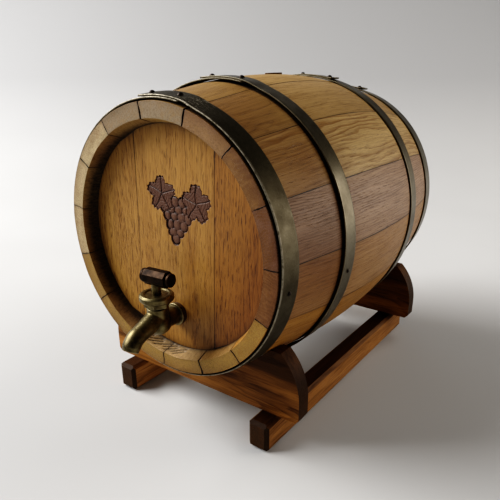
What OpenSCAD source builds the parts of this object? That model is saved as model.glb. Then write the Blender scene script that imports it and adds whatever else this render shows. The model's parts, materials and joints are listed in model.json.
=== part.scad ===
// Small oak cask lying on a two-rail cradle, with a screw-down brass tap in its front head.
// +Z is up and +Y runs from the tap towards the back. The origin is on the table,
// under the middle of the whole object. Angles around the cask start at +X and rise towards +Z.

/* [Cask] */
// Outside diameter at both ends of the staves
chime_d = 192; // [188:1:196]
// Outside diameter at the middle
bulge_d = 222; // [220:1:226]
// Length over the staves
cask_l = 268; // [264:1:276]
// Lean of the straight stave ends against the cask's axis, in degrees
end_lean = 9; // [8.8:0.1:9.4]
// Thickness of a stave
stave_t = 16; // [14:0.5:17]
// Depth of the heads behind the stave ends
head_recess = 12; // [10:0.5:14]
// Thickness of the head boards
head_t = 10; // [9:0.5:12]

/* [Hoops] */
// Thickness of the hoop strip
hoop_t = 1.2; // [1:0.1:1.6]
// Width of the front head hoop
front_end_hoop_w = 16; // [13:0.5:18]
// Width of the two quarter hoops
quarter_hoop_w = 13; // [11:0.5:15]
// Width of the rear head hoop
rear_end_hoop_w = 15; // [12:0.5:16]
// Middle of the front quarter hoop, from the cask's middle
front_quarter_y = 63; // [60:1:66]
// Middle of the rear quarter hoop, from the cask's middle
rear_quarter_y = 55; // [52:1:60]

/* [Bung] */
// Diameter of the bung at the outside of the stave
bung_d = 14; // [12:0.5:16]
// How far the bung stands proud
bung_proud = 0.9; // [0.4:0.1:2]

/* [Tap] */
// Distance from the front head to the tap's upright axis
tap_reach = 20.5; // [20:0.5:24]
// Drop of the tap's inlet below the cask's axis
tap_drop = 54; // [50:1:58]
// Outside diameter of the spout where it bends
spout_d = 12.8; // [12.4:0.2:13.2]
// Length of the handle
handle_l = 25; // [24:0.2:28]
// Turn of the closed handle away from the cask's cross direction, in degrees
handle_turn = 5; // [0:1:20]

/* [Cradle] */
// Height of the cask's axis above the table
axis_h = 149.5; // [147:0.5:153]
// How far the cask sits forward of the cradle's middle
cask_forward = 12; // [10:0.5:14]
// Length of a rail
rail_l = 264; // [260:1:280]
// Width of a rail
rail_w = 18; // [16:0.5:20]
// Height of a rail
rail_h = 24; // [22:0.5:26]
// Distance between the rails' middles
rail_spacing = 142; // [136:1:146]
// Length of a saddle
saddle_l = 193; // [188:1:198]
// Thickness of a saddle
saddle_t = 13; // [11:0.5:15]

/* [Hidden] */
$fn = 96;
SMOOTH = 360;

// Cask profile: a shallow bow in the middle that runs tangent into two straight leaning ends
chime_r = chime_d / 2;
bulge_r = bulge_d / 2;
half_l = cask_l / 2;
bow_r = (tan(end_lean) * half_l - (bulge_r - chime_r)) / (1 / cos(end_lean) - 1);
bow_x = bulge_r - bow_r;
bow_half = bow_r * sin(end_lean);
bow_steps = 10;
function wood_r(y) = y < bow_half ? bow_x + sqrt(bow_r * bow_r - y * y)
                                  : chime_r + tan(end_lean) * (half_l - y);

// Staves
stave_n = 15;
stave_turn = 360 / stave_n;
joint_gap = 0.08;
joint_gap_turn = joint_gap / chime_r * 180 / PI;
top_joint = 73.5;
chime_edge_t = 10.7;
mouth_r = chime_r - chime_edge_t;
throat_r = wood_r(half_l - head_recess) - stave_t / cos(end_lean);
croze_depth = 3;
rim_t = 5;
fit_gap = 0.05;
function stave_start(i) = top_joint + i * stave_turn;
function two_digits(i) = i < 10 ? str("0", i) : str(i);
function stave_name(i) = str("stave_", two_digits(i));

// Heads: three boards each, with their joints leaning a little
head_r = throat_r + croze_depth - 2 * fit_gap;
board_lean = 2.3;
left_joint_x = -35.5;
right_joint_x = 37;
dowel_r = 2.5;
dowel_l = 22;
dowel_offset = 40;

// Carved grape bunch on the middle board: a shallow sunk field, in head coordinates
carving_depth = 1.2;
bunch_rows = [4, 5, 4, 3, 2, 1];
grape_r = 3.9;
grape_pitch_x = 6.4;
grape_pitch_y = 5.4;
bunch_tip = [2, 3];
bunch_slant = 0.15;
leaf_r = 11.6;
left_leaf = [-9.5, 34.5];
right_leaf = [22.5, 31];
function grape_at(row, k) = [
    bunch_tip[0] + bunch_slant * grape_pitch_y * (len(bunch_rows) - 1 - row)
        + (k - (bunch_rows[row] - 1) / 2) * grape_pitch_x,
    bunch_tip[1] + grape_pitch_y * (len(bunch_rows) - 1 - row)];
function leaf_edge(a) = leaf_r * (1 + 0.2 * cos(5 * a) + 0.04 * cos(15 * a));

// Hoops: each is tight on its edge nearest the bulge and stands off the wood at the other
quarter_hoop_flare = 0.04;
end_hoop_flare = 0.12;
hoop_gap = 0.05;
ring_start = 100;
end_hoop_inset = 2;
rear_hoop_inset = 6;
lap_half_turn = 10;
front_lap_at = 88;
rear_lap_at = 85;
rivet_half_turn = 7;
rivet_r = 2.1;
rivet_shank_r = 1.2;
nail_r = 1.6;
nail_shank_r = 0.7;
nail_l = 9;
nail_angles = [-8, 172];
front_end_y = half_l - end_hoop_inset - front_end_hoop_w / 2;
rear_end_y = half_l - rear_hoop_inset - rear_end_hoop_w / 2;
// Each hoop: distance of its middle from the cask's middle, width, end (-1 front, 1 rear), lap angle,
// and flare (how much its radius falls per millimetre of width)
hoops = [
    [front_end_y, front_end_hoop_w, -1, front_lap_at, end_hoop_flare],
    [front_quarter_y, quarter_hoop_w + 0.8, -1, front_lap_at, quarter_hoop_flare],
    [rear_quarter_y, quarter_hoop_w - 0.8, 1, rear_lap_at, quarter_hoop_flare],
    [rear_end_y, rear_end_hoop_w, 1, rear_lap_at, end_hoop_flare]
];
function hoop_inner(h) = wood_r(h[0] - h[1] / 2) + hoop_gap;
function hoop_mid_outer(h) = hoop_inner(h) - h[4] * h[1] / 2 + hoop_t;

// Bung
bung_angle = 92;
bung_y = 8;
bung_l = 20;
bung_taper = 0.05;

// Places of the cask and the cradle in the row frame
tap_y = -(half_l - head_recess + tap_reach);
spout_r = spout_d / 2;
spout_start_r = 7.6;
spout_start_z = 5;
spout_slope = 20;
spout_run = 21.2;
bend_r = 13;
bend_turn = 42;
outlet_turn = spout_slope + bend_turn;
outlet_l = 3;
outlet_r = spout_r - 0.5;
bend_step = 0.1;
bend_lap = 0.5;
spout_front = spout_run * cos(spout_slope) + bend_r * (sin(outlet_turn) - sin(spout_slope))
              + outlet_l * cos(outlet_turn) + outlet_r * sin(outlet_turn);
front_end = tap_y - spout_front;
cask_y = -(front_end + cask_forward + rail_l / 2) / 2;
cradle_y = cask_y + cask_forward;

// Tap, measured from the crossing of its upright axis and its inlet axis
shank_r = 6;
inlet_r = 6.8;
collar_r = 8.8;
collar_t = 3;
seal_t = 1.5;
tail_l = 6;
body_r = 9.2;
neck_r = 7.9;
neck_top = 12.4;
chamber_r = 5.8;
seat_z = -1;
seat_r = 2.4;
inlet_bore_r = 2.2;
inlet_bore_z = -3.6;
spout_bore_r = 3.4;
spout_bore_start = 4.5;
waist_r = 7;
hex_r = 9.4;
hex_bottom = 13.3;
disc_bottom = 17.4;
disc_r = 12.4;
disc_edge = 1.4;
bonnet_top = 23;
dish_r = 9;
dish_depth = 0.9;
bonnet_thread_bottom = 9.2;
spindle_r = 3.3;
running_gap = 0.04;
seal_bottom = 15;
seal_ring_h = 2.5;
seal_groove_r = 5;
jumper_r = 4.6;
jumper_bottom = 1;
jumper_top = 2.5;
jumper_pin_r = 1.25;
jumper_pin_top = 7.5;
washer_r = 4.5;
washer_hole_r = 1.3;
handle_z = 35;
grip_r = 6.2;
handle_shift = 2.1;
handle_end_l = 2.2;
handle_end_r = 4.9;
groove_l = 0.9;
groove_r = 4.2;
spindle_top = handle_z + 3.5;

// Cradle
rail_chamfer = 2.8;
rail_x = rail_spacing / 2;
saddle_top = 78;
saddle_side_h = 16.5;
horn_r = 51;
saddle_chamfer = 3;
saddle_outer = 116;
seat_gap = 0.1;
screw_r = 1.75;
screw_head_r = 3.5;
screw_head_l = 3;
screw_sink = 1;
screw_grip = 14;

// ---- frames ----
module at_cask() {
    translate([0, cask_y, axis_h]) children();
}

// Local Z runs forward along the cask's axis, and local Y points up
module along_cask() {
    at_cask() rotate([90, 0, 0]) children();
}

// Local Z points out of the head, local Y points up, and the head's outer face is at local zero
module at_head(rear) {
    at_cask()
        rotate([0, 0, rear ? 180 : 0])
            translate([0, -half_l + head_recess, 0])
                rotate([90, 0, 0])
                    children();
}

// Local Z points outward from the cask's axis at an angle, at a distance along the cask
module outward(angle, y) {
    at_cask() translate([0, y, 0]) rotate([0, 90 - angle, 0]) children();
}

module at_tap() {
    translate([0, cask_y + tap_y, axis_h - tap_drop]) children();
}

module along_y(from, to, r) {
    translate([0, from, 0]) rotate([-90, 0, 0]) cylinder(r = r, h = to - from);
}

module ring_2d(inner, outer, bottom, top) {
    translate([inner, bottom]) square([outer - inner, top - bottom]);
}

// ---- cask profile ----
// Half section of the cask's outer surface moved inward, reaching a little past the ends
module cask_section(inset, past) {
    r = bow_r - inset;
    tangent_x = bow_x + r * cos(end_lean);
    tangent_y = r * sin(end_lean);
    reach = half_l + past;
    end_x = tangent_x - tan(end_lean) * (reach - tangent_y);
    bow = [for (k = [-bow_steps : bow_steps])
        let (a = end_lean * k / bow_steps) [bow_x + r * cos(a), r * sin(a)]];
    polygon(concat([[0, -reach], [end_x, -reach]], bow, [[end_x, reach], [0, reach]]));
}

// What the head groove and the bevelled chime take out of a stave end
module chime_cut() {
    rise = (mouth_r - throat_r) / head_recess;
    head_at = half_l - head_recess;
    polygon([[0, head_at], [throat_r, head_at], [mouth_r + rise, half_l + 1], [0, half_l + 1]]);
    ring_2d(throat_r - 5, throat_r + croze_depth, head_at - rim_t, head_at + fit_gap);
}

module stave_section() {
    difference() {
        cask_section(0, 0);
        cask_section(stave_t, 1);
        for (side = [0, 1])
            mirror([0, side]) chime_cut();
    }
}

// A place on the middle of a hoop's outside, with Z square to the strip
module on_hoop(angle, h) {
    outward(angle, h[2] * h[0])
        translate([0, 0, hoop_mid_outer(h)])
            rotate([-h[2] * atan(h[4]), 0, 0])
                children();
}

module nail_hole(angle, h) {
    on_hoop(angle, h)
        translate([0, 0, -nail_l - 1])
            cylinder(r = nail_shank_r + fit_gap, h = nail_l + 5, $fn = 24);
}

module stave(i) {
    start = stave_start(i);
    color("burlywood")
        difference() {
            along_cask()
                rotate([0, 0, start + joint_gap_turn / 2])
                    rotate_extrude(angle = stave_turn - joint_gap_turn, $fn = SMOOTH)
                        stave_section();
            for (h = [hoops[0], hoops[1]], angle = nail_angles)
                if ((angle - start + 720) % 360 < stave_turn)
                    nail_hole(angle, h);
            if (i == 0)
                bung_shape(fit_gap);
        }
}

// ---- bung ----
module bung_shape(gap) {
    top = bulge_r + bung_proud;
    outward(bung_angle, bung_y)
        translate([0, 0, top - bung_l])
            cylinder(r1 = bung_d / 2 - bung_taper * bung_l + gap, r2 = bung_d / 2 + gap, h = bung_l);
}

module bung() {
    color("saddlebrown") bung_shape(0);
}

// ---- heads ----
module head_blank() {
    rotate_extrude($fn = SMOOTH)
        polygon([[0, 0], [head_r, 0], [head_r, -rim_t + fit_gap], [throat_r - 1.2, -rim_t + fit_gap],
                 [throat_r - 6.2, -head_t], [0, -head_t]]);
}

// The part of the head between two joints, which lean by board_lean
module board_slab(from, to) {
    rotate([0, 0, -board_lean])
        translate([from, -head_r - 5, -head_t - 5])
            cube([to - from, 2 * head_r + 10, head_t + 10]);
}

module head_dowels(gap) {
    rotate([0, 0, -board_lean])
        for (x = [left_joint_x, right_joint_x], y = [-dowel_offset, dowel_offset])
            translate([x - dowel_l / 2 - gap, y, -head_t / 2])
                rotate([0, 90, 0])
                    cylinder(r = dowel_r + gap, h = dowel_l + 2 * gap, $fn = 36);
}

module head_board(rear, from, to) {
    at_head(rear)
        difference() {
            intersection() {
                head_blank();
                board_slab(from + fit_gap, to - fit_gap);
            }
            head_dowels(fit_gap);
        }
}

module left_board(rear) {
    color("peru") head_board(rear, -head_r - 5, left_joint_x);
}

module right_board(rear) {
    color("peru") head_board(rear, right_joint_x, head_r + 5);
}

module leaf_2d(at) {
    translate(at)
        polygon([for (a = [90 : 4 : 446]) [leaf_edge(a - 90) * cos(a), leaf_edge(a - 90) * sin(a)]]);
}

module carving_2d() {
    for (row = [0 : len(bunch_rows) - 1], k = [0 : bunch_rows[row] - 1])
        translate(grape_at(row, k)) circle(r = grape_r, $fn = 48);
    leaf_2d(left_leaf);
    leaf_2d(right_leaf);
}

module front_head_middle_board() {
    color("peru")
        difference() {
            head_board(false, left_joint_x, right_joint_x);
            at_head(false)
                translate([0, 0, -carving_depth])
                    linear_extrude(carving_depth + 1)
                        carving_2d();
            at_tap()
                along_y(0, tap_reach + head_t + tail_l, shank_r + fit_gap);
        }
}

module rear_head_middle_board() {
    color("peru") head_board(true, left_joint_x, right_joint_x);
}

module dowels(rear) {
    color("wheat") at_head(rear) head_dowels(0);
}

// ---- hoops ----
// Section of the bent strip, in the frame where local Y points forward along the cask
module hoop_section(h, from_r, to_r) {
    forward = -h[2];
    tight = forward * (h[0] - h[1] / 2);
    loose = forward * (h[0] + h[1] / 2);
    inner = hoop_inner(h);
    fall = h[4] * h[1];
    polygon([[inner + from_r, tight], [inner + to_r, tight],
             [inner - fall + to_r, loose], [inner - fall + from_r, loose]]);
}

module rivet_places(h) {
    for (side = [-1, 1])
        on_hoop(h[3] + side * rivet_half_turn, h)
            translate([0, 0, hoop_t])
                children();
}

module hoop(h) {
    color("dimgray")
        difference() {
            along_cask() {
                rotate([0, 0, ring_start])
                    rotate_extrude($fn = SMOOTH)
                        hoop_section(h, 0, hoop_t);
                rotate([0, 0, h[3] - lap_half_turn])
                    rotate_extrude(angle = 2 * lap_half_turn, $fn = SMOOTH)
                        hoop_section(h, hoop_t / 2, 2 * hoop_t);
            }
            rivet_places(h)
                translate([0, 0, -4])
                    cylinder(r = rivet_shank_r + fit_gap, h = 8, $fn = 24);
            if (h[2] < 0)
                for (angle = nail_angles)
                    nail_hole(angle, h);
        }
}

module domed_head(r, h) {
    ball_r = (r * r + h * h) / (2 * h);
    intersection() {
        translate([0, 0, h - ball_r]) sphere(r = ball_r, $fn = 48);
        cylinder(r = r + 1, h = h + 1, $fn = 48);
    }
}

module hoop_rivets() {
    head_lift = 0.12;
    color("black")
        for (h = hoops)
            rivet_places(h) {
                translate([0, 0, head_lift]) domed_head(rivet_r, 1.6);
                translate([0, 0, -2 * hoop_t]) cylinder(r = rivet_shank_r, h = 2 * hoop_t + 0.5, $fn = 24);
            }
}

module hoop_nails() {
    head_lift = 0.25;
    color("black")
        for (h = [hoops[0], hoops[1]], angle = nail_angles)
            on_hoop(angle, h) {
                translate([0, 0, head_lift]) domed_head(nail_r, 0.7);
                translate([0, 0, -nail_l]) cylinder(r = nail_shank_r, h = nail_l + 0.6, $fn = 24);
            }
}

// ---- tap ----
// The spout's path as a solid rod: a straight taper, a bend and a short taper to the outlet. The bend is
// a hair thicker than the ends that run into it.
module spout_path(from_r, r, to_r, start, past) {
    straight_r = r - bend_step;
    translate([0, 0, spout_start_z])
        rotate([spout_slope, 0, 0]) {
            rotate([90, 0, 0]) translate([0, 0, start])
                cylinder(r1 = from_r, r2 = straight_r, h = spout_run + bend_lap - start);
            translate([0, -spout_run, -bend_r])
                rotate([0, 90, 0]) rotate([0, 0, 180])
                    rotate_extrude(angle = bend_turn, $fn = 120)
                        translate([bend_r, 0]) circle(r = r, $fn = 48);
            translate([0, -spout_run - bend_r * sin(bend_turn), -bend_r + bend_r * cos(bend_turn)])
                rotate([90 + bend_turn, 0, 0])
                    translate([0, 0, -bend_lap])
                        cylinder(r1 = straight_r, r2 = to_r, h = outlet_l + bend_lap + past);
        }
}

module tap_body() {
    color("darkkhaki")
        at_tap()
            difference() {
                union() {
                    sphere(r = body_r);
                    cylinder(r = neck_r, h = neck_top);
                    along_y(0, tap_reach - seal_t, inlet_r);
                    along_y(tap_reach - seal_t - collar_t, tap_reach - seal_t, collar_r);
                    along_y(tap_reach - seal_t - 1, tap_reach + head_t + tail_l, shank_r);
                    spout_path(spout_start_r, spout_r, outlet_r, 0, 0);
                }
                translate([0, 0, seat_z]) cylinder(r = chamber_r, h = neck_top + 5);
                translate([0, 0, inlet_bore_z]) cylinder(r = seat_r, h = 5);
                translate([0, 0, inlet_bore_z])
                    along_y(0, tap_reach + head_t + tail_l + 1, inlet_bore_r);
                spout_path(spout_bore_r - bend_step, spout_bore_r, spout_bore_r - bend_step,
                           spout_bore_start, 1);
            }
}

module tap_seal_washer() {
    color("saddlebrown")
        at_tap()
            difference() {
                along_y(tap_reach - seal_t + fit_gap, tap_reach - fit_gap, collar_r - 0.5);
                along_y(0, tap_reach + 1, shank_r + fit_gap);
            }
}

module tap_bonnet() {
    color("darkkhaki")
        at_tap()
            difference() {
                union() {
                    translate([0, 0, bonnet_thread_bottom])
                        cylinder(r = chamber_r - fit_gap, h = neck_top - bonnet_thread_bottom + 1);
                    translate([0, 0, neck_top + fit_gap])
                        cylinder(r = waist_r, h = hex_bottom - neck_top + 1);
                    translate([0, 0, hex_bottom])
                        cylinder(r = hex_r, h = disc_bottom - hex_bottom + 1, $fn = 6);
                    rotate_extrude()
                        bonnet_disc_2d();
                }
                cylinder(r = spindle_r + running_gap, h = bonnet_top + 5);
                translate([0, 0, seal_bottom]) cylinder(r = seal_groove_r, h = seal_ring_h);
            }
}

// Half section of the bonnet's round top: chamfered edges and a shallow dish
module bonnet_disc_2d() {
    polygon([[0, disc_bottom], [disc_r - disc_edge, disc_bottom], [disc_r, disc_bottom + disc_edge],
             [disc_r, bonnet_top - disc_edge], [disc_r - disc_edge, bonnet_top],
             [dish_r, bonnet_top], [dish_r - dish_depth, bonnet_top - dish_depth],
             [0, bonnet_top - dish_depth]]);
}

module tap_stem_seal() {
    color("black")
        at_tap()
            rotate_extrude()
                ring_2d(spindle_r + running_gap, seal_groove_r - fit_gap,
                        seal_bottom + fit_gap, seal_bottom + seal_ring_h - fit_gap);
}

module tap_jumper() {
    color("darkkhaki")
        at_tap() {
            translate([0, 0, jumper_bottom]) cylinder(r = jumper_r, h = jumper_top - jumper_bottom);
            translate([0, 0, seat_z + 0.5]) cylinder(r = washer_hole_r - fit_gap, h = jumper_bottom - seat_z);
            translate([0, 0, jumper_bottom]) cylinder(r = jumper_pin_r, h = jumper_pin_top - jumper_bottom);
        }
}

module tap_jumper_washer() {
    color("black")
        at_tap()
            rotate_extrude()
                ring_2d(washer_hole_r, washer_r, seat_z + fit_gap, jumper_bottom - fit_gap / 2);
}

module tap_spindle() {
    foot = jumper_top + 0.1;
    color("darkkhaki")
        at_tap()
            difference() {
                translate([0, 0, foot]) cylinder(r = spindle_r, h = spindle_top - foot);
                translate([0, 0, foot - 1])
                    cylinder(r = jumper_pin_r + fit_gap, h = jumper_pin_top - foot + 1.5);
            }
}

module tap_handle() {
    grip_l = handle_l - 2 * handle_end_l - 2 * groove_l;
    color("sienna")
        at_tap()
            difference() {
                translate([0, 0, handle_z])
                    rotate([0, 0, handle_turn])
                        translate([handle_shift, 0, 0])
                            rotate([0, 90, 0]) {
                                rotate([0, 0, 22.5])
                                    cylinder(r = grip_r, h = grip_l, center = true, $fn = 8);
                                cylinder(r = groove_r, h = handle_l - 1, center = true);
                                for (side = [0, 1])
                                    mirror([0, 0, side])
                                        translate([0, 0, handle_l / 2 - handle_end_l])
                                            cylinder(r = handle_end_r, h = handle_end_l);
                            }
                cylinder(r = spindle_r + fit_gap, h = spindle_top + fit_gap);
            }
}

// ---- cradle ----
module chamfered_2d(x, y, chamfer) {
    hx = x / 2;
    hy = y / 2;
    polygon([[-hx + chamfer, -hy], [hx - chamfer, -hy], [hx, -hy + chamfer], [hx, hy - chamfer],
             [hx - chamfer, hy], [-hx + chamfer, hy], [-hx, hy - chamfer], [-hx, -hy + chamfer]]);
}

// A block with all its edges chamfered, centred in X and Y and standing on the table
module chamfered_block(x, y, z, chamfer) {
    translate([0, 0, z / 2])
        intersection() {
            translate([0, 0, -z / 2]) linear_extrude(z) chamfered_2d(x, y, chamfer);
            rotate([90, 0, 0]) translate([0, 0, -y / 2]) linear_extrude(y) chamfered_2d(x, z, chamfer);
            rotate([0, 90, 0]) translate([0, 0, -x / 2]) linear_extrude(x) chamfered_2d(z, y, chamfer);
        }
}

module screw_places() {
    for (x = [-rail_x, rail_x], side = [-1, 1])
        translate([x, cradle_y + side * (saddle_outer - saddle_t / 2), screw_sink])
            children();
}

module screw_shape(gap) {
    cylinder(r1 = screw_head_r + gap, r2 = screw_r + gap, h = screw_head_l, $fn = 36);
    cylinder(r = screw_r + gap, h = rail_h + screw_grip - screw_sink, $fn = 36);
}

module rail(side) {
    color("saddlebrown")
        difference() {
            translate([side * rail_x, cradle_y, 0])
                chamfered_block(rail_w, rail_l, rail_h, rail_chamfer);
            screw_places() {
                screw_shape(fit_gap);
                translate([0, 0, -5]) cylinder(r = screw_head_r + fit_gap, h = 5 + fit_gap, $fn = 36);
            }
        }
}

// Front view of a saddle blank: straight sides, then rounded horns cut off level at the top
module saddle_2d() {
    half = saddle_l / 2;
    horn_z = rail_h + saddle_side_h;
    difference() {
        intersection() {
            translate([-half, rail_h]) square([saddle_l, saddle_top - rail_h]);
            union() {
                translate([-half, rail_h]) square([saddle_l, saddle_side_h]);
                translate([-half + horn_r, rail_h]) square([saddle_l - 2 * horn_r, saddle_top]);
                for (side = [-1, 1])
                    translate([side * (half - horn_r), horn_z]) circle(r = horn_r, $fn = SMOOTH);
            }
        }
        for (side = [-1, 1])
            translate([side * half, rail_h]) circle(r = saddle_chamfer, $fn = 4);
    }
}

module saddle(rear) {
    y = cradle_y + (rear ? saddle_outer - saddle_t : -saddle_outer);
    color("sienna")
        difference() {
            translate([0, y + saddle_t, fit_gap])
                rotate([90, 0, 0])
                    linear_extrude(saddle_t)
                        saddle_2d();
            if (rear)
                at_cask() along_y(0, cask_l, hoop_inner(hoops[3]) + hoop_t + seat_gap);
            else
                along_cask() rotate_extrude($fn = SMOOTH) cask_section(-seat_gap, 0);
            screw_places() screw_shape(fit_gap);
        }
}

module cradle_screws() {
    color("gray") screw_places() screw_shape(0);
}

stave(0);  // bung_stave
for (i = [1 : stave_n - 1])
    stave(i);
left_board(false);  // front_head_left_board
front_head_middle_board();
right_board(false);  // front_head_right_board
dowels(false);  // front_head_dowels
left_board(true);  // rear_head_left_board
rear_head_middle_board();
right_board(true);  // rear_head_right_board
dowels(true);  // rear_head_dowels
hoop(hoops[0]);  // front_head_hoop
hoop(hoops[1]);  // front_quarter_hoop
hoop(hoops[2]);  // rear_quarter_hoop
hoop(hoops[3]);  // rear_head_hoop
hoop_rivets();
hoop_nails();
bung();
tap_body();
tap_seal_washer();
tap_bonnet();
tap_stem_seal();
tap_jumper();
tap_jumper_washer();
tap_spindle();
tap_handle();
rail(-1);  // left_rail
rail(1);  // right_rail
saddle(false);  // front_saddle
saddle(true);  // rear_saddle
cradle_screws();
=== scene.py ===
"""Looks of the small oak cask on its cradle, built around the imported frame.

Metres, +Z up, +Y from the tap towards the rear head. Angles around the cask start at +X and rise
towards +Z. Lengths written in millimetres are multiplied by MM where they are used.
"""
import json
import math

import bmesh
import bpy
import numpy as np
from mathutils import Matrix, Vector

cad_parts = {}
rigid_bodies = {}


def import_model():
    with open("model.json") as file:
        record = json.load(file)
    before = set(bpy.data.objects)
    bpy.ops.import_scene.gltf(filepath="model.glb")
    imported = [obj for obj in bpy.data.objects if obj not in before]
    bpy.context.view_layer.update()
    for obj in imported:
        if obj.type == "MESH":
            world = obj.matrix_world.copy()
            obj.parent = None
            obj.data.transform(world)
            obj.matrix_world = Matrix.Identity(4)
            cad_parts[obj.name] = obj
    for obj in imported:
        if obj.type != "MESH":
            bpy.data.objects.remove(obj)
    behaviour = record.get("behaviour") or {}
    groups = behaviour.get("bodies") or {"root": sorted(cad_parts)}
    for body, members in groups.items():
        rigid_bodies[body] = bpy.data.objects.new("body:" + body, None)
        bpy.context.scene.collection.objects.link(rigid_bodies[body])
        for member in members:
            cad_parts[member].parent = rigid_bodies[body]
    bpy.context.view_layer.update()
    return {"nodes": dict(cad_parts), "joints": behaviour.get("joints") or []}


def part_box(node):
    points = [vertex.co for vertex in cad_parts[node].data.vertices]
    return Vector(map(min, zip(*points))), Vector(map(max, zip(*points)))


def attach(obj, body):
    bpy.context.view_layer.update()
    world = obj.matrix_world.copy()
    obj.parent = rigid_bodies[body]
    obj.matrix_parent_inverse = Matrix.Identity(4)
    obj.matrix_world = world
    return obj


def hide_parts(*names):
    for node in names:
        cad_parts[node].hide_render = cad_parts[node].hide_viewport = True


for leftover in list(bpy.data.objects):
    bpy.data.objects.remove(leftover)
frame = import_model()
nodes = frame["nodes"]
MM = 0.001

# ---- places and sizes, read from the frame ----


def node_points(*names):
    """All the points of some CAD nodes, as rows of x, y, z."""
    return np.array([v.co for name in names for v in nodes[name].data.vertices], float)


stave_names = ["bung_stave"] + [f"stave_{i:02d}" for i in range(1, 15)]
stave_points = node_points(*stave_names)
front_y, rear_y = stave_points[:, 1].min(), stave_points[:, 1].max()
cask_y = (front_y + rear_y) / 2
half_l = (rear_y - front_y) / 2
axis_z = (stave_points[:, 2].min() + stave_points[:, 2].max()) / 2
bulge_r = (stave_points[:, 2].max() - stave_points[:, 2].min()) / 2


def radius_of(points):
    """Distance of each point from the cask's axis."""
    return np.hypot(points[:, 0], points[:, 2] - axis_z)


end_points = stave_points[np.abs(stave_points[:, 1] - front_y) < 0.01 * MM]
chime_r = radius_of(end_points).max()
mouth_r = radius_of(end_points).min()
head_front_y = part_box("front_head_middle_board")[0].y
head_rear_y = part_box("rear_head_middle_board")[1].y
head_recess = head_front_y - front_y
head_r = radius_of(node_points("front_head_left_board")).max()
head_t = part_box("front_head_left_board")[1].y - head_front_y
stave_turn = 2 * math.pi / len(stave_names)
first = node_points("bung_stave")
top_joint = np.arctan2(first[:, 2] - axis_z, first[:, 0]).min()

# Details of the cooper's work that the frame doesn't say outright
END_LEAN = math.radians(9)
STAVE_T = 16 * MM
CROZE_DEPTH = 3 * MM
RIM_T = 5 * MM
STRIP_T = 1.2 * MM

bow_r = (math.tan(END_LEAN) * half_l - (bulge_r - chime_r)) / (1 / math.cos(END_LEAN) - 1)
bow_half = bow_r * math.sin(END_LEAN)


def wood_r(y):
    """Radius of the cask's outside at a distance along the cask from its middle."""
    y = np.abs(y)
    bow = bulge_r - bow_r + np.sqrt(bow_r ** 2 - np.minimum(y, bow_half) ** 2)
    straight = chime_r + math.tan(END_LEAN) * (half_l - y)
    return np.where(y < bow_half, bow, straight)


throat_r = float(wood_r(half_l - head_recess)) - STAVE_T / math.cos(END_LEAN)


def inner_r(y):
    """Radius of the staves' inside: bevelled mouth, groove for the head, then the bilge."""
    depth = half_l - np.abs(y)
    step = 0.02 * MM
    ends = [0, head_recess, head_recess + step, head_recess + RIM_T, head_recess + RIM_T + step]
    past_groove = float(wood_r(half_l - ends[-1])) - STAVE_T / math.cos(END_LEAN)
    radii = [mouth_r, throat_r, throat_r + CROZE_DEPTH, throat_r + CROZE_DEPTH, past_groove]
    bilge = wood_r(y) - STAVE_T / np.cos(END_LEAN * np.minimum(1, np.abs(y) / bow_half))
    return np.where(depth < ends[-1], np.interp(depth, ends, radii), bilge)


# ---- mesh helpers ----
def ripple(a, b, seed, waves=5):
    """A smooth, repeatable wander between about -1 and 1. a and b are in radians of the shortest wave."""
    draw = np.random.RandomState(seed)
    total = 0
    for _ in range(waves):
        turn, phase = draw.uniform(0, 2 * math.pi, 2)
        pace = draw.uniform(0.35, 1)
        total = total + np.sin(pace * (a * math.cos(turn) + b * math.sin(turn)) + phase)
    return total / math.sqrt(waves)


def box_surface(nu, nv, nw):
    """Lattice points (u, v, w from 0 to the counts) on the skin of a block, and the quads between them."""
    inside = np.zeros((nu + 1, nv + 1, nw + 1), bool)
    inside[1:-1, 1:-1, 1:-1] = True
    index = np.full(inside.shape, -1)
    index[~inside] = np.arange((~inside).sum())
    quads = []
    for axis in range(3):
        for end in (0, -1):
            sheet = index.take(end, axis)
            corners = [sheet[:-1, :-1], sheet[1:, :-1], sheet[1:, 1:], sheet[:-1, 1:]]
            quads.append(np.stack(corners, -1).reshape(-1, 4))
    return np.argwhere(~inside), np.vstack(quads)


def add_mesh(name, points, faces, body, stands_for, attributes=None):
    """A new mesh piece that rides on a body and stands for CAD nodes."""
    mesh = bpy.data.meshes.new(name)
    mesh.from_pydata(np.asarray(points).tolist(), [], np.asarray(faces).tolist() if
                     isinstance(faces, np.ndarray) else faces)
    for key, values in (attributes or {}).items():
        values = np.asarray(values, np.float32)
        kind = "FLOAT_VECTOR" if values.ndim == 2 else "FLOAT"
        layer = mesh.attributes.new(key, kind, "POINT")
        layer.data.foreach_set("vector" if values.ndim == 2 else "value", values.ravel())
    tool = bmesh.new()
    tool.from_mesh(mesh)
    bmesh.ops.recalc_face_normals(tool, faces=tool.faces)
    tool.to_mesh(mesh)
    tool.free()
    mesh.polygons.foreach_set("use_smooth", [True] * len(mesh.polygons))
    piece = bpy.data.objects.new(name, mesh)
    bpy.context.scene.collection.objects.link(piece)
    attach(piece, body)
    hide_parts(*stands_for)
    return piece


def round_edges(piece, width, segments=2, angle=40):
    """Softens a piece's sharp edges and keeps its flat faces flat to the eye."""
    bevel = piece.modifiers.new("round_edges", "BEVEL")
    bevel.width = width
    bevel.segments = segments
    bevel.limit_method = "ANGLE"
    bevel.angle_limit = math.radians(angle)
    bevel.harden_normals = False
    weighted = piece.modifiers.new("flat_faces", "WEIGHTED_NORMAL")
    weighted.keep_sharp = True


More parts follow.
